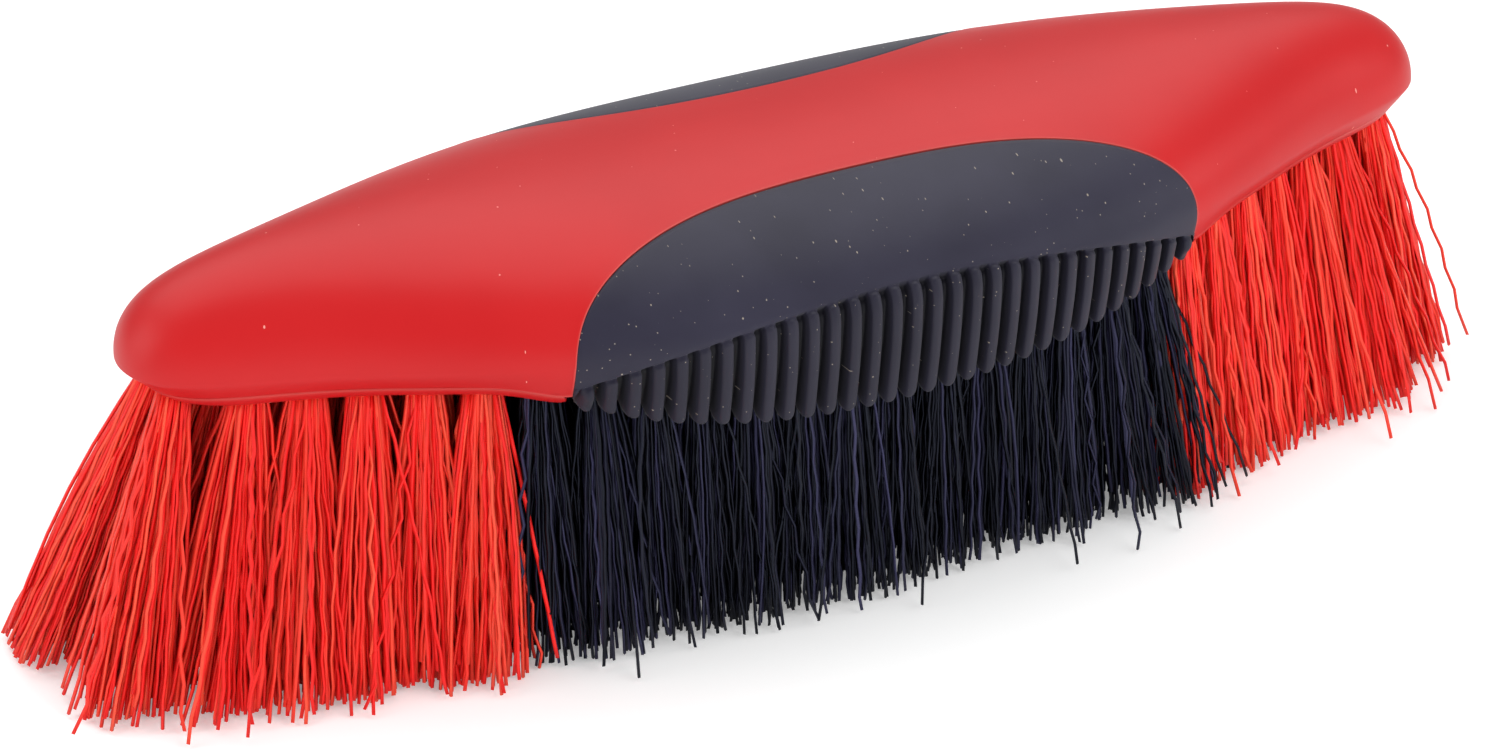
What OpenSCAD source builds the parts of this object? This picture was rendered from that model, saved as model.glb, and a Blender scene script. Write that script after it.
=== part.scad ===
// Hand-held grooming brush: a hollow almond-shaped block with a soft ribbed grip on each flank,
// closed below by a tufted sole plate. Units are millimetres, +Z is up and X runs along the block.
// The origin is the middle of the plane that the trimmed bristle tips stand on.

/* [Block] */
// Overall length of the block
body_l = 200; // [170:1:230]
// Width of the block across its girth, at the middle
body_w = 66.8; // [56:0.2:78]
// Height of the arched top above the girth, at the middle
arch_h = 13.3; // [10:0.1:17]
// Height of the girth above the ends of the sole
girth_rise = 3.5; // [2.5:0.1:6]
// Width at 45 percent of the half length, as a share of the middle width
plan_45 = 0.879; // [0.8:0.001:0.95]
// Width at 75 percent of the half length before the nose is rounded, as a share
plan_75 = 0.621; // [0.55:0.001:0.7]
// Width at the nose before it is rounded, as a share
plan_end = 0.772; // [0.6:0.001:0.9]
// Sharpness of the nose rounding seen from above
plan_pow = 3.45; // [2.5:0.05:5]
// Arch at 45 percent of the half length, as a share of the middle arch
arch_45 = 1.059; // [0.95:0.001:1.1]
// Arch at 75 percent of the half length before the nose is rounded, as a share
arch_75 = 1.08; // [0.9:0.001:1.15]
// Arch at the nose before it is rounded, as a share
arch_end = 1.3; // [1:0.01:1.5]
// Sharpness of the nose rounding seen from the side
arch_pow = 6.5; // [4:0.1:9]
// How far the lower edge tucks in below the girth, at the flanks
tuck_y = 1.14; // [0.6:0.02:2]
// How far the lower edge tucks in below the girth, at the noses
tuck_x = 2.6; // [1.5:0.1:4]
// Wall of the shell at the flanks and the top
wall = 2.6; // [2.2:0.1:3.2]
// Wall of the shell at the noses
nose_wall = 4; // [3:0.1:6]

/* [Sole plate] */
// Height of the ends of the sole above the bristle tips
bristle_h = 42; // [34:0.5:52]
// How much lower the sole is at its middle than at its ends
sole_sag = 2.2; // [1:0.1:3]
// Thickness of the plate's visible edge
edge_t = 2; // [1.4:0.1:3]
// Height of the plate's core above the ends of the sole
core_rise = 7; // [6:0.1:8]
// Width of the core's upper step as a share of the block
core_share = 0.84; // [0.8:0.005:0.86]
// Gap between the plate's spigot and the shell's mouth
spigot_gap = 0.3; // [0.15:0.05:0.5]
// Gap left in a glued or bonded seam
seam_gap = 0.05; // [0.02:0.01:0.1]

/* [Grips] */
// Half length of a grip
grip_a = 47.4; // [42:0.2:54]
// Height of a grip's upper border above the ends of the sole
grip_h = 15.6; // [12:0.1:16.5]
// Thickness of the grip where it lies in the shell
grip_t = 1.4; // [1.1:0.05:1.7]
// Thickness of the grip's hanging lower edge
skirt_t = 2.1; // [1.7:0.05:2.5]
// How far the grip hangs below the sole at its middle
skirt_drop = 9.3; // [5:0.1:11]
// How far the hanging edge tucks in from the rim
skirt_tuck = 0.5; // [0:0.1:1]
// Height of the tops of the ribs above the ends of the sole
rib_top = 7.2; // [5:0.1:10]
// Number of ribs along a grip
rib_n = 31; // [21:1:35]
// Depth of the grooves between the ribs at the hanging edge
groove_d = 1.3; // [0.6:0.05:1.4]
// Share of the rib spacing taken by the face of a rib
rib_share = 0.58; // [0.5:0.01:0.72]

/* [Tufts] */
// Spacing of the tufts along a row
tuft_pitch = 7; // [6.8:0.05:7.6]
// Spacing of the rows across the sole
row_gap = 8.2; // [7.6:0.05:9]
// Distance from the rim to the middle of the outer row
row_inset = 6.6; // [6.2:0.05:7.4]
// Radius of the holes for the tufts
hole_r = 2.3; // [2:0.05:2.4]
// Depth of the holes
hole_d = 6.4; // [5:0.1:6.8]
// Gap between a tuft and its hole
tuft_gap = 0.1; // [0.05:0.01:0.2]
// Radius of a tuft at the trimmed tips
tip_r = 3.3; // [2.8:0.05:3.35]
// Half the spacing of the two tufts in each nose
nose_y = 3.1; // [2.8:0.05:3.3]
// How far the tufts spread lengthwise at the ends, as a share
fan_x = 0.15; // [0:0.01:0.25]
// How far the tufts spread sideways at the ends, as a share
fan_y = 3.2; // [0:0.05:3.4]
// End of the dark zone of tufts left of the middle
zone_left = 50; // [44:0.5:55]
// End of the dark zone of tufts right of the middle
zone_right = 47; // [43:0.5:52]
// Thickness of the flat wire anchors
anchor_t = 0.4; // [0.3:0.05:0.5]
// Height of the flat wire anchors
anchor_h = 1.6; // [1.2:0.1:2]

/* [Hidden] */
half_l = body_l / 2;
half_w = body_w / 2;
girth_z = bristle_h + girth_rise;
rim_l = half_l - tuck_x;
sole_r = (rim_l * rim_l + sole_sag * sole_sag) / (2 * sole_sag);
sole_cz = bristle_h - sole_sag + sole_r;
mouth_l = half_l - nose_wall;
core_l = mouth_l - 2;
rib_pitch = 2 * grip_a / rib_n;
slab = 4 * body_l;
red = [0.80, 0.11, 0.11];
navy = [0.10, 0.10, 0.14];
black = [0.03, 0.03, 0.04];
steel = [0.72, 0.73, 0.75];

// Smooth curve through four values at 0, 45, 75 and 100 percent of the half length.
function knots(s, a, b, c, d) =
    let (q = s * s, p = 0.2025, r = 0.5625)
    a * (q - p) * (q - r) * (q - 1) / (-p * r)
    + b * q * (q - r) * (q - 1) / (p * (p - r) * (p - 1))
    + c * q * (q - p) * (q - 1) / (r * (r - p) * (r - 1))
    + d * q * (q - p) * (q - r) / ((1 - p) * (1 - r));

// Share of the half width, and of the arch, at a station s from 0 to 1.
function plan(s) = knots(s, 1, plan_45, plan_75, plan_end) * sqrt(max(0, 1 - pow(s, plan_pow)));
function arch(s) = knots(s, 1, arch_45, arch_75, arch_end) * sqrt(max(0, 1 - pow(s, arch_pow)));
function station(x, l) = min(1, abs(x) / l);

// Half widths at x of the girth, the rim, the shell's mouth and the core's upper step.
function girth(x) = half_w * plan(station(x, half_l));
function rim(x) = (half_w - tuck_y) * plan(station(x, rim_l));
function mouth(x) = (half_w - wall) * plan(station(x, mouth_l));
function core(x) = half_w * core_share * plan(station(x, core_l));

// Heights at x of the sole and of the seam between plate and shell.
function sole(x) = sole_cz - sqrt(sole_r * sole_r - x * x);
function seam(x) = sole_cz - sqrt(pow(sole_r - edge_t, 2) - x * x);

// Points of a closed outline with the given half width, nose to nose and back.
function outline(l, n, w) = concat(
    [for (i = [0:n]) let (x = -l * cos(180 * i / n)) [x, -w[i]]],
    [for (i = [0:n]) let (x = l * cos(180 * i / n)) [x, w[n - i]]]
);

// A lengthwise arched form: nu stations, nl rows up to the girth and nt rows over the arch.
module arched(l, w, h, tx, ty, nu, nl, nt, open) {
    rows = 2 * nl + nt;
    pts = [
        for (i = [0:nu], j = [0:rows])
        let (
            s = -cos(180 * i / nu),
            m = min(j, rows - j),
            k = m < nl ? (nl - m) / nl : 0,
            t = j < nl ? 0 : j > nl + nt ? 180 : 180 * (j - nl) / nt,
            x = s * (l - tx * k),
            y = (w - ty * (1 - cos(90 * k))) * plan(abs(s)),
            low = open ? bristle_h - 3 * edge_t - sole_sag : seam(x) + seam_gap
        )
        [
            x,
            m < nl ? (j < nl ? -y : y) : -w * plan(abs(s)) * cos(t),
            m < nl ? girth_z + (low - girth_z) * k : girth_z + h * arch(abs(s)) * sin(t)
        ]
    ];
    id = function(i, j)
        let (m = min(j, rows - j), e = i == 0 || i == nu)
        i * (rows + 1) + (e ? min(m, nl) : j);
    faces = [
        for (i = [0:nu - 1], j = [0:rows], f = [0, 1])
        let (
            n = (j + 1) % (rows + 1),
            a = id(i, j),
            b = id(i + 1, j),
            c = id(i + 1, n),
            d = id(i, n),
            tri = f == 0 ? [a, c, b] : [a, d, c]
        )
        if (tri[0] != tri[1] && tri[1] != tri[2] && tri[0] != tri[2]) tri
    ];
    polyhedron(pts, faces, convexity = 8);
}

// Upper border, rib line and hanging edge of a grip of half length a, at x.
function lens(x, a) = max(0, 1 - pow(abs(x) / a, 2));
function border(x, a) = bristle_h + grip_h * pow(max(0, 1 - pow(abs(x) / a, 4)), 0.3);
function hang(x, a) = sole(x) - skirt_drop * pow(lens(x, a), 0.7);
function ribline(x, a) = min(border(x, a), bristle_h + rib_top * lens(x, a));

// Point of a grip's surface at x and height z, moved out along the surface by off.
function skin(x, z, a, off) =
    let (
        w = girth(x),
        h = arch_h * arch(station(x, half_l)),
        u = min(0.999, max(0, (z - girth_z) / h)),
        y = w * sqrt(1 - u * u),
        low = rim(x) - skirt_tuck * lens(x, a),
        k = min(1, max(0, (girth_z - z) / (girth_z - hang(x, a)))),
        n = [y / (w * w), z > girth_z ? u / h : 0],
        o = off / norm(n)
    )
    z > girth_z ? [x, y + n[0] * o, z + n[1] * o] : [x, low + (w - low) * cos(90 * k) + off, z];

// Thickness of the grip at height z, thicker below the sole.
function thick(x, z, a) =
    grip_t + (skirt_t - grip_t) * min(1, max(0, (sole(x) - z) / max(0.5, sole(x) - hang(x, a))));

// A grip: columns at xs, six rows down the smooth panel, four down the ribs, and the same rows back.
module grip_form(xs, a, over, gap, depth) {
    up = 6;
    down = 4;
    n = up + down;
    height = function(x, j)
        let (b = border(x, a), r = ribline(x, a), e = min(hang(x, a), b - 0.4))
        j <= up ? b + (r - b) * j / up * 0.999 : r + (e - r) * (j - up) / down;
    pts = [
        for (i = [0:len(xs) - 1], j = [0:2 * n + 1])
        let (
            x = xs[i],
            m = j <= n ? j : 2 * n + 1 - j,
            z = height(x, m),
            cut = m > up ? depth[i] * (m - up) / down : 0,
            p = j <= n ? skin(x, z, a, over - cut) : skin(x, z, a, -thick(x, z, a) - gap)
        )
        [p[0], -p[1], p[2]]
    ];
    loop = 2 * n + 2;
    last = (len(xs) - 1) * loop;
    faces = concat(
        [
            for (i = [0:len(xs) - 2], j = [0:loop - 1], f = [0, 1])
            let (
                k = (j + 1) % loop,
                p = i * loop + j,
                q = i * loop + k,
                r = p + loop,
                s = q + loop
            )
            f == 0 ? [p, r, s] : [p, s, q]
        ],
        [
            for (m = [0:n - 1], f = [0, 1])
            let (p = m, q = m + 1, r = loop - 1 - m, s = loop - 2 - m)
            f == 0 ? [p, q, s] : [p, s, r]
        ],
        [
            for (m = [0:n - 1], f = [0, 1])
            let (p = last + m, q = last + m + 1, r = last + loop - 1 - m, s = last + loop - 2 - m)
            f == 0 ? [p, s, q] : [p, r, s]
        ]
    );
    polyhedron(pts, faces, convexity = 8);
}

// Columns of a ribbed grip: two on each rib's face and two in each groove.
rib_cols = [
    for (k = [0:rib_n - 1], c = [0:3])
    let (
        mid = -grip_a + (k + 0.5) * rib_pitch,
        part = [-0.5 * rib_share - 0.06, -0.5 * rib_share + 0.06, 0.5 * rib_share - 0.06, 0.5 * rib_share + 0.06]
    )
    [mid + part[c] * rib_pitch, c == 0 || c == 3 ? groove_d : 0]
];
grip_xs = concat([-grip_a * 0.9995], [for (c = rib_cols) c[0]], [grip_a * 0.9995]);
grip_depth = concat([0], [for (c = rib_cols) c[1]], [0]);
recess_a = grip_a + seam_gap;
recess_xs = [for (i = [0:44]) -recess_a * 0.9998 * cos(180 * i / 44)];
recess_depth = [for (x = recess_xs) 0];

// The red block: arched outside, hollow inside, with a recess for a grip in each flank.
module handle_shell() {
    color(red)
    resize([body_l, 0, 0])
    difference() {
        arched(half_l, half_w, arch_h, tuck_x, tuck_y, 52, 3, 24, false);
        arched(mouth_l, half_w - wall, arch_h - wall, 0, 0, 36, 1, 16, true);
        for (m = [0, 1]) {
            mirror([0, m, 0])
            grip_form(recess_xs, recess_a, 3, seam_gap, recess_depth);
        }
    }
}

// Upright prism with a plan outline, and a prism across the block with a side outline.
module standing(pts) {
    linear_extrude(2 * bristle_h)
    polygon(pts);
}

module lying(pts) {
    translate([0, body_w, 0])
    rotate([90, 0, 0])
    linear_extrude(2 * body_w)
    polygon(pts);
}

// The sole plate: a thin visible edge, a spigot in the shell's mouth and a core for the holes.
module tuft_plate() {
    n = 40;
    edge_w = [
        for (i = [0:n])
        let (x = -rim_l * cos(180 * i / n))
        max(0.2, rim(x) - (abs(x) < grip_a + 1 ? grip_t : 0))
    ];
    spigot_l = mouth_l - spigot_gap;
    spigot_w = [for (i = [0:n]) max(0.2, mouth(-spigot_l * cos(180 * i / n)) - spigot_gap)];
    core_w = [for (i = [0:n]) max(0.2, core(-core_l * cos(180 * i / n)))];
    core_z = bristle_h + core_rise;
    low = [for (i = [0:18]) let (x = i * rim_l / 9 - rim_l) [x, sole(x)]];
    color(red)
    difference() {
        union() {
            intersection() {
                standing(outline(rim_l, n, edge_w));
                lying(concat(low, [for (i = [0:18]) let (x = rim_l - i * rim_l / 9) [x, seam(x)]]));
            }
            intersection() {
                standing(outline(spigot_l, n, spigot_w));
                lying(concat(low, [[rim_l, girth_z], [-rim_l, girth_z]]));
            }
            intersection() {
                standing(outline(core_l, n, core_w));
                lying(concat(low, [[rim_l, core_z], [-rim_l, core_z]]));
            }
        }
        for (p = all_tufts) {
            along(p)
            translate([0, 0, tuft_l(p) - 2])
            cylinder(r = hole_r, h = hole_d + 2, $fn = 48);
        }
    }
}

// A soft grip, smooth above and ribbed below, on the front flank; the rear one is its mirror image.
module grip_front() {
    color(navy)
    grip_form(grip_xs, grip_a, 0, 0, grip_depth);
}

module grip_rear() {
    color(navy)
    mirror([0, 1, 0])
    grip_form(grip_xs, grip_a, 0, 0, grip_depth);
}

// Middles of the tufts on the sole: three rows that follow the rim on each side, and a core row.
row_names = ["outer", "second", "third", "core"];
zone_names = ["left", "middle", "right"];
half_pitch = tuft_pitch / 2;
function row_y(x, r) = rim(x) - row_inset - r * row_gap;
function fits(x, r) = row_y(x, r) >= half_pitch;
nose_x = rim_l - row_inset - 0.6;
row_half = ceil(half_l / tuft_pitch);
function row_xs(r) = [
    for (i = [-row_half:row_half])
    let (x = (i + (r % 2) / 2) * tuft_pitch)
    if (abs(x) < nose_x - half_pitch) x
];
function side_row(r) = concat(
    [for (x = row_xs(r), m = [-1, 1]) if (fits(x, r)) [x, m * row_y(x, r)]],
    r == 0 ? [for (x = [-nose_x, nose_x], y = [-nose_y, nose_y]) [x, y]] : []
);
side_tufts = [for (r = [0:2], p = side_row(r)) p];
// A core tuft stands only where its tip keeps clear of the tips round it.
function clear_at(x) = min([for (p = side_tufts) norm(p - [x, 0])]) >= 2 * tip_r + tuft_gap;
function row_tufts(r) = r < 3 ? side_row(r) : [for (x = row_xs(3)) if (clear_at(x)) [x, 0]];
function zone_of(p) = p[0] < -zone_left ? 0 : p[0] > zone_right ? 2 : 1;
function tufts_in(r, z) = [for (p = row_tufts(r)) if (zone_of(p) == z) p];
all_tufts = [for (r = [0:3], p = row_tufts(r)) p];
groups = [for (r = [0:3], z = [0:2]) if (len(tufts_in(r, z)) > 0) [r, z]];
function group_name(g) = str(row_names[g[0]], "_", zone_names[g[1]]);

// Where a tuft leaves the sole, where its trimmed tip stands, and its free length.
function root_at(p) = [p[0], p[1], sole(p[0])];
function tip_at(p) =
    let (s = station(p[0], half_l))
    [p[0] * (1 + fan_x * s * s), p[1] * (1 + fan_y * pow(s, 4)), 0];
function tuft_l(p) = norm(root_at(p) - tip_at(p));

// Stand a shape on a tuft's tip and lean it along the tuft.
module along(p) {
    d = root_at(p) - tip_at(p);
    translate(tip_at(p))
    rotate([0, acos(d[2] / norm(d)), atan2(d[1], d[0])])
    children();
}

// The tufts of one group, each folded round its anchor and trimmed level at the tips.
module tufts(g) {
    color(g[1] == 1 ? black : red)
    for (p = tufts_in(g[0], g[1])) {
        l = tuft_l(p);
        root_r = hole_r - tuft_gap;
        intersection() {
            translate([-slab / 2, -slab / 2, 0])
            cube([slab, slab, bristle_h * 2]);
            along(p)
            difference() {
                translate([0, 0, -2])
                rotate_extrude($fn = 48)
                polygon([
                    [0, 0],
                    [tip_r, 0],
                    [root_r, l + 2],
                    [root_r, l + 2 + hole_d - tuft_gap],
                    [0, l + 2 + hole_d - tuft_gap]
                ]);
                translate([0, 0, l + hole_d - anchor_h])
                cube([2 * hole_r, anchor_t + tuft_gap, anchor_h + tuft_gap], center = true);
            }
        }
    }
}

// The flat wire anchors of one group, one across the fold of each tuft.
module anchors(g) {
    color(steel)
    for (p = tufts_in(g[0], g[1])) {
        along(p)
        translate([0, 0, tuft_l(p) + hole_d - anchor_h])
        cube([2 * (hole_r - tuft_gap), anchor_t, anchor_h], center = true);
    }
}

handle_shell();
tuft_plate();
grip_front();
grip_rear();
for (g = groups) {
    tufts(g);
    anchors(g);
}
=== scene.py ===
"""Looks of a hand-held grooming brush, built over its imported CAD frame.

Lengths in the classes are millimetres in the row frame (X along the block, +Z up, bristle tips at z = 0);
meshes are written in metres.
"""
import logging
import math
from dataclasses import dataclass
from enum import Enum

import bpy
import numpy as np
from mathutils import Matrix, Vector


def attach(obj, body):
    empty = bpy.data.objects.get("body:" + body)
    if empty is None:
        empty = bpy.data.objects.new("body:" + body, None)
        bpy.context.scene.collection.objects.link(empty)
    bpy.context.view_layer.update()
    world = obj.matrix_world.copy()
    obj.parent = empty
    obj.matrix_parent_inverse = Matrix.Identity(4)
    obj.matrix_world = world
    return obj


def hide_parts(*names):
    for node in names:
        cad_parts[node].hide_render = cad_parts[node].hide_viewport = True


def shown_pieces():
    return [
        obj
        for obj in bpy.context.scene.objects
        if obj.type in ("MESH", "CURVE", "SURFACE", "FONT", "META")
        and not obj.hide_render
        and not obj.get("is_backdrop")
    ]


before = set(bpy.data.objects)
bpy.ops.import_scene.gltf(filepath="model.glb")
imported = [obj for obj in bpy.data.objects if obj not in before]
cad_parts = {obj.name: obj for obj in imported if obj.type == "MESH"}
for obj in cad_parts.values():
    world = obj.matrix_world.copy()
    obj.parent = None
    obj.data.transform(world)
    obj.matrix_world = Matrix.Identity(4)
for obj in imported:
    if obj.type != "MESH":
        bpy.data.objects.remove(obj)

LOG = logging.getLogger("brush")
MM = 0.001
GOLDEN_ANGLE = math.pi * (3.0 - math.sqrt(5.0))
MOULDED_CREASE = 40.0


class Zone(Enum):
    """Colour zones of the bristles along the block."""

    LEFT = "left"
    MIDDLE = "middle"
    RIGHT = "right"


class Row(Enum):
    """Rows of tufts: three that follow the rim, and the core row on the middle line."""

    OUTER = 0
    SECOND = 1
    THIRD = 2
    CORE = 3


def smooth(lo: float, hi: float, v: np.ndarray) -> np.ndarray:
    """Smooth step from 0 at lo to 1 at hi.

    Args:
        lo: Where the step starts.
        hi: Where the step ends.
        v: Values to map.

    Returns:
        Values from 0 to 1.
    """
    t = np.clip((v - lo) / (hi - lo), 0.0, 1.0)
    return t * t * (3.0 - 2.0 * t)


def linear(srgb: tuple[int, int, int]) -> tuple[float, float, float, float]:
    """Linear colour of an 8-bit sRGB triple.

    Args:
        srgb: Red, green and blue from 0 to 255.

    Returns:
        Linear red, green, blue and an alpha of 1.
    """
    c = np.asarray(srgb, float) / 255.0
    lin = np.where(c <= 0.04045, c / 12.92, ((c + 0.055) / 1.055) ** 2.4)
    return (float(lin[0]), float(lin[1]), float(lin[2]), 1.0)


def loop_grid(points: np.ndarray) -> tuple[np.ndarray, np.ndarray]:
    """Quads of a grid whose rows close into a loop.

    Args:
        points: Array of shape (rows, columns, 3); row r+1 follows row r and the last joins the first.

    Returns:
        Vertices (n, 3) and quads (m, 4).
    """
    rows, cols = points.shape[:2]
    ids = np.arange(rows * cols).reshape(rows, cols)
    nxt = np.roll(ids, -1, axis=0)
    quads = np.stack([ids[:, :-1], ids[:, 1:], nxt[:, 1:], nxt[:, :-1]], axis=-1)
    return points.reshape(-1, 3), quads.reshape(-1, 4)


def weld(verts: np.ndarray, quads: np.ndarray) -> tuple[np.ndarray, list[list[int]], np.ndarray]:
    """Joins vertices that fall together and drops the faces that vanish with them.

    Args:
        verts: Vertices (n, 3) in millimetres.
        quads: Quads (m, 4).

    Returns:
        Welded vertices, faces of three or four corners, and the number each vertex had before.
    """
    keys = np.round(verts * 1e4).astype(np.int64)
    _, first, back = np.unique(keys, axis=0, return_index=True, return_inverse=True)
    q = back.reshape(-1)[quads]
    keep = q != np.roll(q, 1, axis=1)
    count = keep.sum(axis=1)
    full = q[count == 4]
    twisted = (full[:, 0] == full[:, 2]) | (full[:, 1] == full[:, 3])
    tri = q[count == 3][keep[count == 3]].reshape(-1, 3)
    return verts[first], full[~twisted].tolist() + tri.tolist(), first


def add_piece(
    name: str,
    verts: np.ndarray,
    faces: list[list[int]] | np.ndarray,
    material: bpy.types.Material,
    attributes: dict[str, np.ndarray] | None = None,
    crease: float = 180.0,
) -> bpy.types.Object:
    """Puts a smooth-shaded closed mesh into the scene with its faces turned outwards.

    Args:
        name: Name of the piece.
        verts: Vertices in millimetres.
        faces: Faces as lists of vertex numbers.
        material: Its material.
        attributes: Point attributes by name, one number a vertex.
        crease: Angle in degrees above which an edge is shaded sharp.

    Returns:
        The new object.
    """
    mesh = bpy.data.meshes.new(name)
    mesh.from_pydata((verts * MM).tolist(), [], faces if isinstance(faces, list) else faces.tolist())
    mesh.validate()
    for key, values in (attributes or {}).items():
        mesh.attributes.new(key, "FLOAT", "POINT").data.foreach_set("value", values.astype(np.float32))
    v = np.empty(len(mesh.vertices) * 3)
    mesh.vertices.foreach_get("co", v)
    mesh.calc_loop_triangles()
    t = np.empty(len(mesh.loop_triangles) * 3, np.int32)
    mesh.loop_triangles.foreach_get("vertices", t)
    a, b, c = v.reshape(-1, 3)[t.reshape(-1, 3)].transpose(1, 0, 2)
    if float(np.einsum("ij,ij->", a, np.cross(b, c))) < 0.0:
        mesh.flip_normals()
    mesh.polygons.foreach_set("use_smooth", np.ones(len(mesh.polygons), bool))
    if crease < 180.0:
        mesh.set_sharp_from_angle(angle=math.radians(crease))
    mesh.materials.append(material)
    mesh.update()
    piece = bpy.data.objects.new(name, mesh)
    bpy.context.scene.collection.objects.link(piece)
    return piece


def settle(piece: bpy.types.Object, slot: str, *nodes: str) -> None:
    """Ties a piece to the part's one body and hides the CAD nodes it stands for.

    Args:
        piece: The piece.
        slot: Material slot of the record; not used.
        nodes: CAD nodes that it replaces.
    """
    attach(piece, "root")
    if nodes:
        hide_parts(*nodes)


@dataclass(frozen=True)
class Form:
    """Sizes and formulas of the block that every piece is built on.

    They are those of the CAD source, but for a closer seam, a thinner wall and a rim that dips a little
    beside the grips and at the noses.
    """

    half_l: float = 100.0
    half_w: float = 33.4
    arch_h: float = 13.3
    bristle_h: float = 42.0
    girth_rise: float = 3.5
    plan_knots: tuple[float, float, float, float] = (1.0, 0.879, 0.621, 0.772)
    plan_pow: float = 3.45
    arch_knots: tuple[float, float, float, float] = (1.0, 1.059, 1.08, 1.3)
    arch_pow: float = 6.5
    tuck_y: float = 1.14
    tuck_x: float = 2.6
    wall: float = 2.2
    nose_wall: float = 4.0
    sole_sag: float = 2.2
    edge_t: float = 2.0
    seam_gap: float = 0.02
    grip_a: float = 47.4
    grip_h: float = 15.6
    grip_t: float = 1.4
    skirt_t: float = 2.1
    skirt_drop: float = 9.3
    skirt_tuck: float = 0.5
    rib_top: float = 7.2
    flare: float = 1.8
    flare_reach: float = 6.0
    nose_dip: float = 0.9

    @property
    def girth_z(self) -> float:
        """Height of the widest line of the block."""
        return self.bristle_h + self.girth_rise

    @property
    def rim_l(self) -> float:
        """Half length of the lower rim."""
        return self.half_l - self.tuck_x

    @property
    def sole_r(self) -> float:
        """Radius of the sole's lengthwise curve."""
        return (self.rim_l**2 + self.sole_sag**2) / (2.0 * self.sole_sag)

    @staticmethod
    def knots(s: np.ndarray, values: tuple[float, float, float, float]) -> np.ndarray:
        """Even cubic in s squared through values at 0, 45, 75 and 100 percent of the half length.

        Args:
            s: Stations from 0 to 1.
            values: The four values.

        Returns:
            The curve at s.
        """
        q, p, r = s * s, 0.2025, 0.5625
        a, b, c, d = values
        return (
            a * (q - p) * (q - r) * (q - 1) / (-p * r)
            + b * q * (q - r) * (q - 1) / (p * (p - r) * (p - 1))
            + c * q * (q - p) * (q - 1) / (r * (r - p) * (r - 1))
            + d * q * (q - p) * (q - r) / ((1 - p) * (1 - r))
        )

    def plan(self, s: np.ndarray) -> np.ndarray:
        """Share of the half width at station s: the plan curve times the nose rounding.

        Args:
            s: Stations, signed or not.

        Returns:
            Shares from 0 to 1.
        """
        a = np.clip(np.abs(s), 0.0, 1.0)
        return self.knots(a, self.plan_knots) * np.sqrt(1.0 - a**self.plan_pow)

    def arch(self, s: np.ndarray) -> np.ndarray:
        """Share of the arch height at station s: the arch curve times the nose rounding.

        Args:
            s: Stations, signed or not.

        Returns:
            Shares of the middle arch.
        """
        a = np.clip(np.abs(s), 0.0, 1.0)
        return self.knots(a, self.arch_knots) * np.sqrt(1.0 - a**self.arch_pow)

    def rim(self, x: np.ndarray) -> np.ndarray:
        """Half width of the lower rim at x.

        Args:
            x: Positions along the block.

        Returns:
            Half widths.
        """
        return (self.half_w - self.tuck_y) * self.plan(x / self.rim_l)

    def sole(self, x: np.ndarray, rise: float = 0.0) -> np.ndarray:
        """Height at x of the sole, or of the seam that lies rise above it: an arc about one centre.

        Args:
            x: Positions along the block.
            rise: Distance above the sole.

        Returns:
            Heights.
        """
        centre = self.bristle_h - self.sole_sag + self.sole_r
        return centre - np.sqrt((self.sole_r - rise) ** 2 - x * x)

    def brow(self, x: np.ndarray) -> np.ndarray:
        """How far the rim dips: half a bell outside each end of a grip, a step inside it, and the noses.

        Args:
            x: Positions along the block.

        Returns:
            Depths below the sole.
        """
        past = np.abs(x) - self.grip_a
        bell = np.exp(-((np.maximum(past, 0.0) / self.flare_reach) ** 2))
        nose = smooth(0.7 * self.rim_l, self.rim_l, np.abs(x))
        return self.flare * bell * smooth(-2.5, 0.0, past) + self.nose_dip * nose

    def skin(self, s: np.ndarray, e: np.ndarray, deep: float = 0.0) -> np.ndarray:
        """Point of the block's surface, or of a smaller copy of it inside.

        Above the girth (e from 0 to 1) a section is a quarter ellipse of the girth's half width and the
        arch's height; below it (e from 0 to -1) it tucks in along a cosine to the seam.

        Args:
            s: Stations from -1 to 1.
            e: Section places: -1 at the seam, 0 at the girth, 1 at the ridge.
            deep: Depth of the inner copy, 0 for the outside.

        Returns:
            Points (..., 3) with y positive.
        """
        k = np.clip(-e, 0.0, 1.0)
        t = np.clip(e, 0.0, 1.0) * math.pi / 2.0
        inner = 1.0 if deep > 0.0 else 0.0
        long = self.half_l - inner * self.nose_wall - (1.0 - inner) * self.tuck_x * k
        x = s * long
        wide = self.half_w - deep - (1.0 - inner) * self.tuck_y * (1.0 - np.cos(k * math.pi / 2.0))
        low = self.sole(x, self.edge_t) + self.seam_gap - self.brow(x)
        y = wide * self.plan(s) * np.cos(t)
        z = self.girth_z + (self.arch_h - deep) * self.arch(s) * np.sin(t) - (self.girth_z - low) * k
        return np.stack([x, y, z], axis=-1)

    def lens(self, x: np.ndarray) -> np.ndarray:
        """Share from 1 at the middle of a grip to 0 at its ends, falling with the square of x.

        Args:
            x: Positions along the block.

        Returns:
            Shares.
        """
        return np.clip(1.0 - (x / self.grip_a) ** 2, 0.0, 1.0)

    def border(self, x: np.ndarray) -> np.ndarray:
        """Height of a grip's upper border at x, a flat-topped bow.

        Args:
            x: Positions along the block.

        Returns:
            Heights.
        """
        return self.bristle_h + self.grip_h * np.clip(1.0 - (x / self.grip_a) ** 4, 0.0, 1.0) ** 0.3

    def hang(self, x: np.ndarray) -> np.ndarray:
        """Height of a grip's hanging lower edge at x.

        Args:
            x: Positions along the block.

        Returns:
            Heights.
        """
        return self.sole(x) - self.skirt_drop * self.lens(x) ** 0.7

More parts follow.
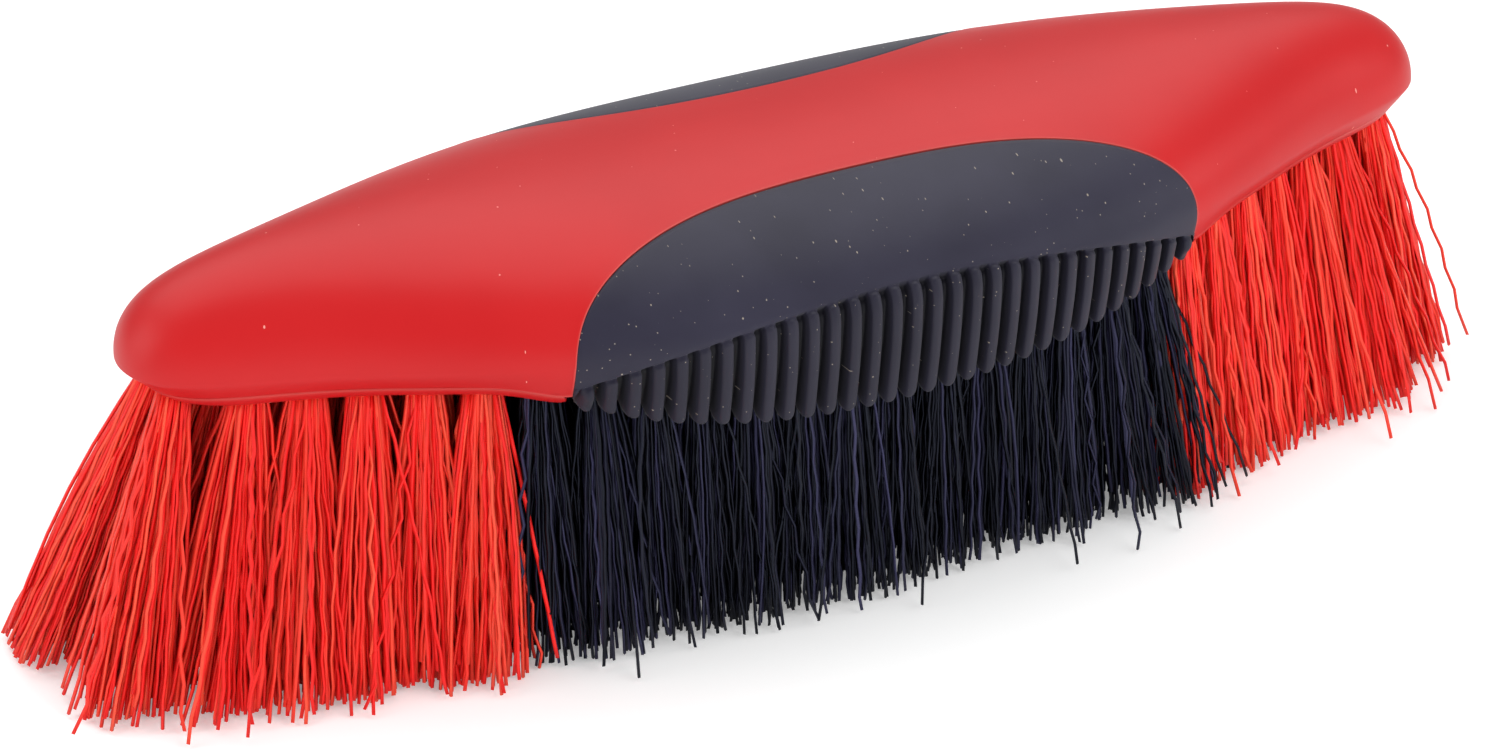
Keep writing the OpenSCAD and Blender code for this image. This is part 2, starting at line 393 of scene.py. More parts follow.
    def flank(self, x: np.ndarray, z: np.ndarray, off: np.ndarray) -> np.ndarray:
        """Point of a grip's face at x and height z, moved off along the face's normal.

        Args:
            x: Positions along the block.
            z: Heights.
            off: Distance to move, outwards positive.

        Returns:
            Points (..., 3) with y positive.
        """
        w = self.half_w * self.plan(x / self.half_l)
        h = self.arch_h * self.arch(x / self.half_l)
        u = np.clip((z - self.girth_z) / h, 0.0, 0.999)
        up = z > self.girth_z
        low = self.rim(x) - self.skirt_tuck * self.lens(x)
        k = np.clip((self.girth_z - z) / (self.girth_z - self.hang(x)), 0.0, 1.0)
        ny, nz = w * np.sqrt(1.0 - u * u) / w**2, np.where(up, u / h, 0.0)
        size = np.hypot(ny, nz)
        y = np.where(up, w * np.sqrt(1.0 - u * u), low + (w - low) * np.cos(k * math.pi / 2.0))
        return np.stack([x + 0.0 * y, y + off * ny / size, z + off * nz / size], axis=-1)

    def border_points(self, n: int, inset: float, dip: float = 0.0) -> tuple[np.ndarray, np.ndarray]:
        """Points along a grip's border, evenly spaced, from its left lower corner to its right one.

        Args:
            n: Number of points.
            inset: How far inside the true border they lie.
            dip: How far below the sole the two corners lie.

        Returns:
            Positions x and heights z.
        """
        turn = np.linspace(0.0, 1.0, 6001)
        turn = math.pi * (turn - np.sin(2.0 * math.pi * turn) / (2.0 * math.pi))
        x = -(self.grip_a - inset) * np.sign(np.cos(turn)) * np.sqrt(np.abs(np.cos(turn)))
        low = float(self.sole(np.array(self.grip_a))) - dip
        z = self.bristle_h + (self.grip_h - inset) * np.clip(np.sin(turn), 0.0, 1.0) ** 0.6
        z = np.concatenate([[low], z[1:-1], [low]])
        run = np.concatenate([[0.0], np.cumsum(np.hypot(np.diff(x), np.diff(z)))])
        at = np.linspace(0.0, run[-1], n)
        return np.interp(at, run, x), np.interp(at, run, z)


class Nodes:
    """Short way to build a material's node tree."""

    def __init__(self, name: str) -> None:
        """Starts an empty material with a principled shader.

        Args:
            name: Name of the material.
        """
        self.material = bpy.data.materials.new(name)
        self.material.use_nodes = True
        self.tree = self.material.node_tree
        self.shader = self.tree.nodes["Principled BSDF"]

    def add(self, kind: str, links: dict[str, object] | None = None, **values: object) -> bpy.types.Node:
        """Adds a node.

        Args:
            kind: Node type.
            links: Input name to output socket or constant.
            values: Properties of the node.

        Returns:
            The node.
        """
        node = self.tree.nodes.new(kind)
        for key, value in values.items():
            setattr(node, key, value)
        for key, source in (links or {}).items():
            socket = node.inputs[int(key)] if key.isdigit() else node.inputs[key]
            if isinstance(source, bpy.types.NodeSocket):
                self.tree.links.new(source, socket)
            else:
                socket.default_value = source
        return node

    def ramp(self, source: bpy.types.NodeSocket, stops: list[tuple[float, tuple]]) -> bpy.types.NodeSocket:
        """Adds a colour ramp.

        Args:
            source: Socket with the factor.
            stops: Places and colours.

        Returns:
            The colour socket.
        """
        node = self.add("ShaderNodeValToRGB", {"Fac": source})
        marks = node.color_ramp.elements
        while len(marks) < len(stops):
            marks.new(0.5)
        for mark, (place, colour) in zip(marks, stops):
            mark.position = place
            mark.color = colour
        return node.outputs["Color"]

    def noise(self, scale: float, detail: float = 2.0) -> bpy.types.NodeSocket:
        """Adds noise on object coordinates.

        Args:
            scale: Scale in 1/m.
            detail: Octaves.

        Returns:
            The factor socket.
        """
        place = self.add("ShaderNodeTexCoord").outputs["Object"]
        node = self.add("ShaderNodeTexNoise", {"Vector": place, "Scale": scale, "Detail": detail})
        return node.outputs["Fac"]

    def reckon(self, operation: str, a: object, b: object) -> bpy.types.NodeSocket:
        """Adds a node that works out one number from two.

        Args:
            operation: Name of the operation.
            a: First socket or number.
            b: Second socket or number.

        Returns:
            The result's socket.
        """
        return self.add("ShaderNodeMath", {"0": a, "1": b}, operation=operation).outputs[0]

    def specks(
        self, scale: float, size: float, share: float, plane: str, stretch: tuple = (1.0, 1.0, 1.0)
    ) -> bpy.types.NodeSocket:
        """Adds sparse specks: cells of a Voronoi pattern in a plane, some with a dot of their own size.

        Args:
            scale: Cells in 1/m.
            size: Largest radius of a dot as a share of a cell.
            share: Share of the cells with a dot.
            plane: Names of the two axes of the plane.
            stretch: Factors on the plane's coordinates.

        Returns:
            Socket that is 1 in a dot and 0 outside.
        """
        coords = self.add("ShaderNodeTexCoord").outputs["Object"]
        axes = self.add("ShaderNodeSeparateXYZ", {"Vector": coords})
        flat = self.add("ShaderNodeCombineXYZ", {"X": axes.outputs[plane[0]], "Y": axes.outputs[plane[1]]})
        turn = (0.0, 0.0, 0.4)
        links = {"Vector": flat.outputs["Vector"], "Rotation": turn, "Scale": stretch}
        place = self.add("ShaderNodeMapping", links).outputs["Vector"]
        cell = self.add("ShaderNodeTexVoronoi", {"Vector": place, "Scale": scale}, voronoi_dimensions="2D")
        pick = self.add("ShaderNodeSeparateColor", {"Color": cell.outputs["Color"]})
        own = self.reckon("MULTIPLY", pick.outputs["Green"], size)
        near = self.reckon("LESS_THAN", cell.outputs["Distance"], own)
        some = self.reckon("LESS_THAN", pick.outputs["Red"], share)
        return self.reckon("MULTIPLY", near, some)

    def mark(self, weight: float) -> bpy.types.NodeSocket:
        """Adds the piece's own mark: pale edges on plastic, partly wear and partly a painted highlight, and
        painted shade in the grooves and on the back of rubber.

        Args:
            weight: Factor on the mark.

        Returns:
            The weighted mark.
        """
        own = self.add("ShaderNodeAttribute", attribute_name="mark").outputs["Fac"]
        return self.reckon("MULTIPLY", own, weight)

    def mix(self, fac: object, a: object, b: object) -> bpy.types.NodeSocket:
        """Mixes two colours.

        Args:
            fac: Socket or number.
            a: First colour.
            b: Second colour.

        Returns:
            The mixed colour socket.
        """
        node = self.add("ShaderNodeMix", data_type="RGBA")
        for socket, value in ((node.inputs[0], fac), (node.inputs[6], a), (node.inputs[7], b)):
            if isinstance(value, bpy.types.NodeSocket):
                self.tree.links.new(value, socket)
            else:
                socket.default_value = value
        return node.outputs[2]

    def bump(self, height: bpy.types.NodeSocket, strength: float, distance: float) -> None:
        """Bumps the shader's normal, on top of any bump before it.

        Args:
            height: Socket with the height.
            strength: Strength of the bump.
            distance: Height of the bump in metres.
        """
        node = self.add("ShaderNodeBump", {"Height": height, "Strength": strength, "Distance": distance})
        socket = self.shader.inputs["Normal"]
        if socket.is_linked:
            self.tree.links.new(socket.links[0].from_socket, node.inputs["Normal"])
        self.tree.links.new(node.outputs["Normal"], socket)

    def colour(self, source: bpy.types.NodeSocket) -> None:
        """Links the base colour.

        Args:
            source: Colour socket.
        """
        self.tree.links.new(source, self.shader.inputs["Base Color"])


@dataclass(frozen=True)
class RedPlastic:
    """Satin moulded plastic with a faint mottle, pale edges that are partly wear and partly a painted
    highlight along the lip and the rim, and a few dust specks.

    Specks are cells in 1/m, dot size and share. Wave and grain are noise in 1/m, bump strength and height.
    """

    base: tuple[int, int, int] = (191, 19, 23)
    pale: tuple[int, int, int] = (198, 25, 28)
    # dust: colour of the dust specks, and also of the pale edges, which are partly wear and partly a painted
    # highlight
    dust: tuple[int, int, int] = (232, 150, 140)
    roughness: float = 0.42
    ior: float = 1.41
    mottle: float = 38.0
    wear_and_painted_highlight: float = 0.22
    specks: tuple[float, float, float] = (330.0, 0.045, 0.08)
    wave: tuple[float, float, float] = (75.0, 0.5, 0.0003)
    grain: tuple[float, float, float] = (2600.0, 0.12, 0.00004)

    def build(self) -> bpy.types.Material:
        """Makes the material.

        Returns:
            The material.
        """
        n = Nodes("red_plastic")
        body = n.ramp(n.noise(self.mottle, 3.0), [(0.3, linear(self.base)), (0.7, linear(self.pale))])
        # Pale edges by the mark: partly wear, partly a painted highlight along the lip beside the grips and
        # along the rim.
        edged = n.mix(n.mark(self.wear_and_painted_highlight), body, linear(self.dust))
        n.colour(n.mix(n.specks(*self.specks, "XY"), edged, linear(self.dust)))
        n.shader.inputs["Roughness"].default_value = self.roughness
        n.shader.inputs["IOR"].default_value = self.ior
        for scale, strength, distance in (self.wave, self.grain):
            n.bump(n.noise(scale), strength, distance)
        return n.material


@dataclass(frozen=True)
class NavyRubber:
    """Matt soft rubber with a bluish cast, painted shade in the grooves, fine and coarse dust specks and
    short scuffs.
    """

    base: tuple[int, int, int] = (32, 30, 48)
    pale: tuple[int, int, int] = (44, 42, 60)
    # groove: colour of the painted shade in the grooves and on the grip's back
    groove: tuple[int, int, int] = (12, 11, 19)
    dust: tuple[int, int, int] = (150, 140, 128)
    roughness: float = 0.55
    ior: float = 1.42
    sheen: float = 0.08
    mottle: float = 60.0
    fine: tuple[float, float, float] = (1100.0, 0.1, 0.16)
    coarse: tuple[float, float, float] = (450.0, 0.06, 0.12)
    scuff: tuple[float, float, float] = (300.0, 0.07, 0.09)
    scuff_stretch: tuple[float, float, float] = (0.2, 1.0, 1.0)
    grain: tuple[float, float, float] = (3200.0, 0.15, 0.00004)

    def build(self) -> bpy.types.Material:
        """Makes the material.

        Returns:
            The material.
        """
        n = Nodes("navy_rubber")
        dust = linear(self.dust)
        body = n.ramp(n.noise(self.mottle, 4.0), [(0.3, linear(self.base)), (0.7, linear(self.pale))])
        # Painted shade: darkened towards the groove colour by the mark.
        dark = n.mix(n.mark(1.0), body, linear(self.groove))
        fine = n.mix(n.specks(*self.fine, "XZ"), dark, dust)
        dusty = n.mix(n.specks(*self.coarse, "XZ"), fine, dust)
        n.colour(n.mix(n.specks(*self.scuff, "XZ", self.scuff_stretch), dusty, dust))
        n.shader.inputs["Roughness"].default_value = self.roughness
        n.shader.inputs["IOR"].default_value = self.ior
        n.shader.inputs["Sheen Weight"].default_value = self.sheen
        n.shader.inputs["Sheen Roughness"].default_value = 0.5
        scale, strength, distance = self.grain
        n.bump(n.noise(scale), strength, distance)
        return n.material


@dataclass(frozen=True)
class Filament:
    """Glossy extruded filament, in its dark colour up to the tone `lift` and lighter for tones above it."""

    name: str
    dark: tuple[int, int, int]
    light: tuple[int, int, int]
    gloss: tuple[int, int, int] = (255, 255, 255)
    roughness: float = 0.45
    lift: float = 0.0
    ior: float = 1.49

    def build(self) -> bpy.types.Material:
        """Makes the material.

        Returns:
            The material.
        """
        n = Nodes(self.name)
        tone = n.add("ShaderNodeAttribute", attribute_name="tone").outputs["Fac"]
        n.colour(n.ramp(tone, [(self.lift, linear(self.dark)), (1.0, linear(self.light))]))
        n.shader.inputs["Roughness"].default_value = self.roughness
        n.shader.inputs["IOR"].default_value = self.ior
        n.shader.inputs["Specular Tint"].default_value = linear(self.gloss)
        return n.material


@dataclass(frozen=True)
class Wire:
    """Drawn flat steel wire."""

    colour: tuple[int, int, int] = (190, 192, 196)

    def build(self) -> bpy.types.Material:
        """Makes the material.

        Returns:
            The material.
        """
        n = Nodes("anchor_wire")
        n.shader.inputs["Base Color"].default_value = linear(self.colour)
        n.shader.inputs["Metallic"].default_value = 1.0
        n.shader.inputs["Roughness"].default_value = 0.35
        return n.material


@dataclass
class Shell:
    """The red moulded block, hollow, with a faint lip along the grips' borders."""

    form: Form
    rim_cols: int = 150
    border_cols: int = 260
    rows: int = 64
    inner_rows: int = 14
    ridge_reach: float = 0.62
    girth_share: float = 0.12
    lip: float = 0.05
    lip_reach: float = 1.3
    edge_round: float = 0.06
    round_reach: float = 0.22
    border_wear_highlight_reach: float = 0.35
    rim_wear_highlight_reach: float = 0.25
    rim_wear_highlight_weight: float = 0.9

    def edge(self) -> tuple[np.ndarray, np.ndarray]:
        """Lower limit of the front skin: rim, grip border and rim again, as stations and section shares.

        Returns:
            Stations and shares of the section: 0 at the seam, girth_share at the girth and 1 at the ridge.
        """
        f, g = self.form, self.girth_share
        x, z = f.border_points(self.border_cols, 0.0, f.flare)
        s = x / f.half_l
        up = np.arcsin(np.clip((z - f.girth_z) / (f.arch_h * f.arch(s)), 0.0, 1.0)) / (math.pi / 2.0)
        seam = f.sole(x, f.edge_t) + f.seam_gap - f.brow(x)
        k = np.clip((f.girth_z - z) / (f.girth_z - seam), 0.0, 1.0)
        s = np.where(z > f.girth_z, s, x / (f.half_l - f.tuck_x * k))
        share = np.where(z > f.girth_z, g + (1.0 - g) * up, g * (1.0 - k))
        turn = np.linspace(0.0, 1.0, self.rim_cols, endpoint=False)
        left = -1.0 + (1.0 + s[0]) * (1.0 - np.cos(turn * math.pi / 2.0)) ** 1.15
        none = np.zeros(self.rim_cols)
        return np.concatenate([left, s, -left[::-1]]), np.concatenate([none, share, none])

    def ridge(self, s: np.ndarray) -> np.ndarray:
        """Where the line from each edge point meets the ridge, as stations.

        Args:
            s: Stations of the edge points.

        Returns:
            Stations on the ridge.
        """
        n, m, r = self.rim_cols, self.border_cols, self.ridge_reach
        left = -1.0 + (1.0 - r) * (s[:n] + 1.0) / (s[n] + 1.0)
        return np.concatenate([left, np.linspace(-r, r, m), -left[::-1]])

    def sheet(self, places: np.ndarray, deep: float) -> np.ndarray:
        """Rows of a skin from the edge to the ridge, on straight lines in station and section share.

        Args:
            places: Shares of the way from the edge to the ridge.
            deep: Depth of the inner copy, 0 for the outside.

        Returns:
            Points (rows, columns, 3) with y positive.
        """
        s, share = self.edge()
        way, g = places[:, None], self.girth_share
        at = s + (self.ridge(s) - s) * way
        part = share + (1.0 - share) * way
        e = np.where(part < g, part / g - 1.0, (part - g) / (1.0 - g))
        return self.form.skin(at, e, deep)

    def outer(self) -> tuple[np.ndarray, np.ndarray]:
        """Outer skin with a faint raised lip beside the grips that is rounded over at their borders.

        There the skin moves along its normal by lip x exp(-(d / lip_reach)^2) less edge_round x
        exp(-d / round_reach), d being the distance from the edge along the row.

        Returns:
            Points (rows, columns, 3) with y positive, and how pale each one is: partly wear, partly a painted
            highlight along the lip and the rim.
        """
        close = [0.0, 0.002, 0.004, 0.007, 0.011, 0.016]
        places = np.concatenate([close, np.linspace(0.023, 1.0, self.rows - 6) ** 1.25])
        p = self.sheet(places, 0.0)
        along = np.gradient(p, axis=1)
        up = np.gradient(p, axis=0)
        normal = np.cross(up, along)
        normal /= np.linalg.norm(normal, axis=-1, keepdims=True) + 1e-9
        normal *= np.sign((normal * (p - [0.0, 0.0, self.form.bristle_h])).sum(-1, keepdims=True))
        step = np.linalg.norm(np.diff(p, axis=0), axis=-1)
        d = np.concatenate([np.zeros((1, p.shape[1])), np.cumsum(step, axis=0)])
        beside = np.pad(np.ones(self.border_cols), self.rim_cols)
        x = np.abs(p[..., 0])
        fade = smooth(0.0, 2.0, self.form.half_l - x) * smooth(0.0, 0.15, 1.0 - places)[:, None]
        rise = self.lip * np.exp(-((d / self.lip_reach) ** 2))
        off = rise - self.edge_round * np.exp(-d / self.round_reach)
        moved = p + normal * (beside * off * fade)[..., None]
        moved[-1] = p[-1]
        # Pale mark: partly wear, partly a painted highlight, in a bell along the lip beside the grips and
        # along the rim.
        border = np.exp(-((d / self.border_wear_highlight_reach) ** 2))
        rim = self.rim_wear_highlight_weight * np.exp(-((d / self.rim_wear_highlight_reach) ** 2))
        return moved, np.where(beside > 0.0, border, rim)

    def build(self, material: bpy.types.Material) -> bpy.types.Object:
        """Builds the shell as one closed skin, outside and inside.

        Args:
            material: Its plastic.

        Returns:
            The piece.
        """
        out, mark = self.outer()
        inn = self.sheet(np.linspace(0.0, 1.0, self.inner_rows), self.form.wall)
        flip = np.array([1.0, -1.0, 1.0])
        rows = np.concatenate([out * flip, out[-2::-1], inn, (inn * flip)[-2::-1]])
        inside = np.zeros((2 * self.inner_rows - 1, out.shape[1]))
        marks = np.concatenate([mark, mark[-2::-1], inside]).reshape(-1)
        verts, faces, first = weld(*loop_grid(rows))
        return add_piece("shell", verts, faces, material, {"mark": marks[first]}, MOULDED_CREASE)


@dataclass
class Plate:
    """The red sole plate: a thin edge below the seam and a core inside the shell."""

    form: Form
    cols: int = 321
    core_rise: float = 7.0
    core_share: float = 0.84
    relief: float = 1.6
    edge_slope: float = 1.1
    edge_round: float = 1.4
    nose_slope: float = 0.8
    seam_drop: float = 0.01
    nose_room: float = 2.0

    def build(self, material: bpy.types.Material) -> bpy.types.Object:
        """Builds the plate from a section loop at each station.

        From the seam (down 0) to the sole (down 1) the edge slopes in by edge_slope x down and rounds over by
        edge_round x down^4. Where a grip hangs before it, it stands back by the relief. The core follows.

        Args:
            material: Its plastic.

        Returns:
            The piece.
        """
        f = self.form
        s = -np.cos(np.linspace(0.0, math.pi, self.cols))
        core_l = f.half_l - f.nose_wall - self.nose_room
        ring = []
        for down in np.linspace(1.0, 0.0, 7):
            inset = self.edge_slope * down + self.edge_round * down**4
            x = s * (f.rim_l - inset - self.nose_slope * down)
            hidden = self.relief * smooth(0.6, 0.0, np.abs(x) - f.grip_a)
            y = np.maximum((f.half_w - f.tuck_y - inset) * f.plan(s) - hidden, 0.0)
            ring.append((x, y, f.sole(x, f.edge_t * (1.0 - down)) - self.seam_drop - f.brow(x)))
        x = s * core_l
        core = f.half_w * self.core_share * f.plan(s)
        ring.append((x, core, f.sole(x, f.edge_t)))
        ring.append((x, 0.98 * core, np.full_like(x, f.bristle_h + self.core_rise)))
        front = np.stack([np.stack([x, -y, z], axis=-1) for x, y, z in ring])
        rear = (front * np.array([1.0, -1.0, 1.0]))[::-1]
        # Pale band just below the seam: partly wear, partly a painted highlight.
        wear_and_painted_highlight = np.array([0.0, 0.0, 0.0, 0.0, 0.0, 0.2, 0.9, 0.0, 0.0])
        marks = np.repeat(np.concatenate([wear_and_painted_highlight, wear_and_painted_highlight[::-1]]), self.cols)
        verts, faces, first = weld(*loop_grid(np.concatenate([front, rear])))
        return add_piece("plate", verts, faces, material, {"mark": marks[first]}, MOULDED_CREASE)


@dataclass
class Grip:
    """A soft grip: a smooth panel above and a lens of ribs below, hanging under the rim."""

    form: Form
    ribs: int = 31
    panel_rows: int = 20
    rib_rows: int = 38
    groove: float = 2.3
    inset: float = 0.06
    web: float = 0.9
    end_round: float = 0.85
    lump: float = 1.3
    lump_drop: float = 0.9
    lump_out: float = 0.75
    half_rib: float = 0.315
    rib_out: float = 0.3
    line_sink: float = 0.22
    sit: float = 0.02
    border_sink: float = 0.08
    border_reach: float = 0.3
    profile: tuple[float, ...] = (-0.5, -0.41, -0.34, -0.31, -0.285, -0.26, -0.23, -0.15, -0.05)

    def columns(self) -> tuple[np.ndarray, np.ndarray]:
        """Columns along the grip and their places across the rib they lie on.

        Returns:
            Positions x and places, 0 in the middle of a rib and 0.5 in the middle of a groove.
        """
        a = self.form.grip_a - self.inset
        pitch = 2.0 * a / self.ribs
        half = np.array(self.profile)
        one = np.concatenate([half, -half[:0:-1]])
        part = np.tile(one, self.ribs)
        x = -a + (np.repeat(np.arange(self.ribs), len(one)) + 0.5 + part) * pitch
        return np.concatenate([x, [a]]), np.abs(np.concatenate([part, [0.5]]))

    def face(self) -> tuple[np.ndarray, np.ndarray, np.ndarray, np.ndarray]:
        """Places of the face, how far each stands off the block's flank, and how much painted shade it takes.

        The face runs down from the border to the rib line on straight lines, then down the ribs at constant
        x. A groove sinks along the face's normal by its share times a depth that starts at the rib line and
        grows downwards, and its web ends higher than the ribs, whose ends roll under in a quarter circle. A
        rib stands out a little from the panel and has a round top with a shallow crease over it. At the two
        lower corners the face swells by a bell.

        Returns:
            Positions x, heights z, distances and painted shade from 0 to 1, each (rows, columns).
        """
        f = self.form
        x, part = self.columns()
        n = len(x)
        share = smooth(self.half_rib - 0.08, self.half_rib + 0.01, part)
        across = np.clip(part / self.half_rib, 0.0, 1.0)
        bx, bz = f.border_points(n, self.inset)
        line = np.minimum(f.bristle_h + f.rib_top * f.lens(x), f.border(x) - 0.02)
        bulge = np.exp(-(((f.grip_a - self.lump - np.abs(x)) / self.lump) ** 2))
        end = np.minimum(f.hang(x), line - 0.15) - self.lump_drop * bulge
        tall = np.clip((line - end) / 4.0, 0.0, 1.0)
        v = np.linspace(0.0, 1.0, self.panel_rows)[:, None]
        ease = v**1.3
        px, pz = bx + (x - bx) * ease, bz + (line - bz) * ease
        reach = np.hypot(x - bx, line - bz) * ease
        poff = -self.sit - self.border_sink * np.exp(-((reach / self.border_reach) ** 1.5))
        r = np.linspace(0.0, 1.0, self.rib_rows)[1:, None]
        r = r - 0.8 * np.sin(2.0 * math.pi * r) / (2.0 * math.pi)
        fall = 1.0 - np.sqrt(1.0 - across**2)
        foot = end + tall * (self.end_round * fall + self.web * share)
        rz = line + (foot - line) * r
        sunk = tall * smooth(0.0, 0.05, r) * (0.6 + 0.4 * r)
        deep = sunk * (self.groove * share + 0.15 * across**2)
        roll = np.clip((r - 0.9) / 0.1, 0.0, 1.0)
        down = line - rz
        tooth = smooth(0.25, 0.65, down - 0.9 * fall)
        crease = self.line_sink * (1.0 - tooth) * smooth(0.0, 0.25, down)
        raised = self.rib_out * tooth * (1.0 - across**2) - crease
        roff = -self.sit - deep + tall * (raised - 0.8 * (1.0 - np.sqrt(1.0 - 0.96 * roll**2)))
        rx = np.broadcast_to(x, rz.shape)
        gx, gz = np.concatenate([px, rx]), np.concatenate([pz, rz])
        corner = np.hypot(f.grip_a - self.lump - np.abs(gx), gz - f.sole(gx) - 0.4) / self.lump
        off = np.concatenate([poff, roff]) + self.lump_out * np.exp(-(corner**2))
        # Painted shade: darker with a groove's depth, and at least 0.3 on the faces below the rib line.
        painted_shade = np.clip(sunk * share * 1.3, 0.3 * tall * smooth(0.0, 0.8, down), 1.0)
        return gx, gz, off, np.concatenate([np.zeros(px.shape), painted_shade])

    def build(self, material: bpy.types.Material, side: int) -> bpy.types.Object:
        """Builds a grip from its face and a back that lies the grip's thickness behind it.

        Args:
            material: Its rubber.
            side: -1 for the front flank, 1 for the rear one.

        Returns:
            The piece.
        """
        f = self.form
        x, z, off, shade_mark = self.face()
        face = f.flank(x, z, off)
        below = np.clip((f.sole(x) - z) / np.maximum(0.5, f.sole(x) - f.hang(x)), 0.0, 1.0)
        thick = f.grip_t + (f.skirt_t - f.grip_t) * below
        thin = smooth(0.0, 0.8, f.grip_a - self.inset - np.abs(x[-1]))
        back = f.flank(x, z, np.minimum(-thick, off - 0.35))
        back = face + (back - face) * thin[None, :, None]
        rows = np.concatenate([face, back[::-1]]) * np.array([1.0, float(side), 1.0])
        # The back takes the full painted shade.
        marks = np.concatenate([shade_mark, np.ones(x.shape)]).reshape(-1)
        verts, faces, first = weld(*loop_grid(rows))
        name = "grip_front_soft" if side < 0 else "grip_rear_soft"
        return add_piece(name, verts, faces, material, {"mark": marks[first]})


@dataclass
class Bristles:
    """Crimped filaments of every tuft, one piece for each row and colour zone."""

    form: Form
    pitch: float = 7.0
    row_gap: float = 8.2
    inset: float = 6.6
    nose_in: float = 0.6
    nose_y: float = 3.1
    nose_left: float = 3.2
    nose_right: float = 1.8
    zone_left: float = 50.0
    zone_right: float = 47.0
    fan_left: float = 0.17
    fan_right: float = 0.055
    spread: float = 0.06
    fan_y: float = 3.0
    skew: float = 0.25
    sweep: float = 7.0
    sweep_reach: float = 11.0
    hold: float = 2.5
    hold_reach: float = 8.0
    tilt: float = 0.7
    count: int = 180
    dark_count: int = 92
    root_r: float = 2.05
    tip_r: float = 5.5
    end_tip_r: float = 8.0
    reach: float = 116.0
    radius: float = 0.3
    dark_radius: float = 0.26
    apart: float = 6.7
    sides: int = 3
    rings: int = 13
    crimp: float = 0.15
    bow: float = 0.7
    loose: float = 1.05
    stray_share: float = 0.08
    stray_by: float = 4.2
    stray_held: float = 2.6
    stray_crimp: float = 2.4
    short_share: float = 0.07
    short_by: tuple[float, float] = (1.0, 4.0)
    ragged: float = 0.8
    tip_gap: float = 0.15
    hidden: float = 1.2
    seed: int = 7

    def row_y(self, x: np.ndarray, row: int) -> np.ndarray:
        """Distance from the middle line of a row that follows the rim.

        Args:
            x: Positions along the block.
            row: Number of the row from outside.

        Returns:
            Distances.
        """
        return self.form.rim(x) - self.inset - row * self.row_gap

    def tufts(self, row: Row) -> np.ndarray:
        """Middles of a row's tufts on the sole.

        Args:
            row: The row.

        Returns:
            Positions (n, 2).
        """
        half = self.pitch / 2.0
        nose = self.form.rim_l - self.inset - self.nose_in
        x = (np.arange(-15, 16) + (row.value % 2) / 2.0) * self.pitch
        x = x[np.abs(x) < nose - half]
        if row is Row.CORE:
            sides = np.concatenate([self.tufts(k) for k in (Row.OUTER, Row.SECOND, Row.THIRD)])
            gap = np.hypot(x[:, None] - sides[None, :, 0], sides[None, :, 1]).min(axis=1)
            x = x[gap >= self.apart]
            return np.stack([x, 0.0 * x], axis=-1)
        y = self.row_y(x, row.value)
        x, y = x[y >= half], y[y >= half]
        both = np.concatenate([np.stack([x, -y], axis=-1), np.stack([x, y], axis=-1)])
        if row is Row.OUTER:
            ends = [-nose - self.nose_left, nose + self.nose_right]
            both = np.concatenate([both, [[e, y] for e in ends for y in (-self.nose_y, self.nose_y)]])
        return both

    def zone(self, x: np.ndarray) -> np.ndarray:
        """Number of the colour zone at x.

        Args:
            x: Positions along the block.

        Returns:
            0 for the left, 1 for the middle and 2 for the right zone.
        """
        return np.where(x < -self.zone_left, 0, np.where(x > self.zone_right, 2, 1))

    @staticmethod
    def at_nose(s: np.ndarray) -> np.ndarray:
        """Step from 0 before the noses to 1 on them, over stations s from 0 to 1."""
        return smooth(0.86, 0.92, s)

    def tips(self, middles: np.ndarray) -> tuple[np.ndarray, np.ndarray]:
        """Where the middles of some tufts end on the trimmed plane.

        They fan out lengthwise with the square of the station and sideways with its fourth power, and the
        two tufts of a nose skew apart. The last dark tufts on the right sweep outwards and the last red ones
        on the left hold back, each by a bell over the distance from the dark zone's end.

        Args:
            middles: Tuft positions (n, 2).

        Returns:
            Positions (n, 2), and how far each tuft is held back, from 0 to 1.
        """
        x, y = middles.T
        s = np.abs(x) / self.form.half_l
        fan_x = np.where(x < 0.0, self.fan_left, self.fan_right)
        fan_y = self.spread + self.fan_y * np.minimum(s, 0.88) ** 4
        tip = middles * np.stack([1.0 + fan_x * s**2, 1.0 + fan_y], axis=-1)
        tip[:, 0] -= self.skew * self.at_nose(s) * tip[:, 1]
        last = self.zone_right - x
        swept = np.where(last > 0.0, np.exp(-((last / self.sweep_reach) ** 2)), 0.0)
        tip += self.sweep * swept[:, None] * np.stack([np.ones(len(x)), 0.5 * np.sign(y)], axis=-1)
        first = -self.zone_left - x
        held = np.where(first > 0.0, np.exp(-((first / self.hold_reach) ** 2)), 0.0)
        tip[:, 0] -= self.hold * held
        return tip, held

    def tubes(
        self, line: np.ndarray, side: np.ndarray, cross: np.ndarray, radius: float
    ) -> tuple[np.ndarray, list[list[int]]]:
        """Closed tubes along lines: rings of a few points in the plane of two directions.

        Args:
            line: Points of the filaments' middles (filaments, rings, 3).
            side: First direction of each filament's rings.
            cross: Second direction, square to the first.
            radius: Radius of a filament.

        Returns:
            Vertices and faces.
        """
        around = np.arange(self.sides) * math.tau / self.sides
        spoke = side[:, None] * np.cos(around)[:, None] + cross[:, None] * np.sin(around)[:, None]
        tube = line[:, :, None] + radius * spoke[:, None]
        tube[..., 2] = np.maximum(tube[..., 2], 0.0)
        ids = np.arange(tube[..., 0].size).reshape(tube.shape[:3])
        nxt = np.roll(ids, -1, axis=2)
        wall = np.stack([ids[:, :-1], nxt[:, :-1], nxt[:, 1:], ids[:, 1:]], axis=-1).reshape(-1, 4)
        caps = np.concatenate([ids[:, 0, ::-1], ids[:, -1]])
        return tube.reshape(-1, 3), wall.tolist() + caps.tolist()

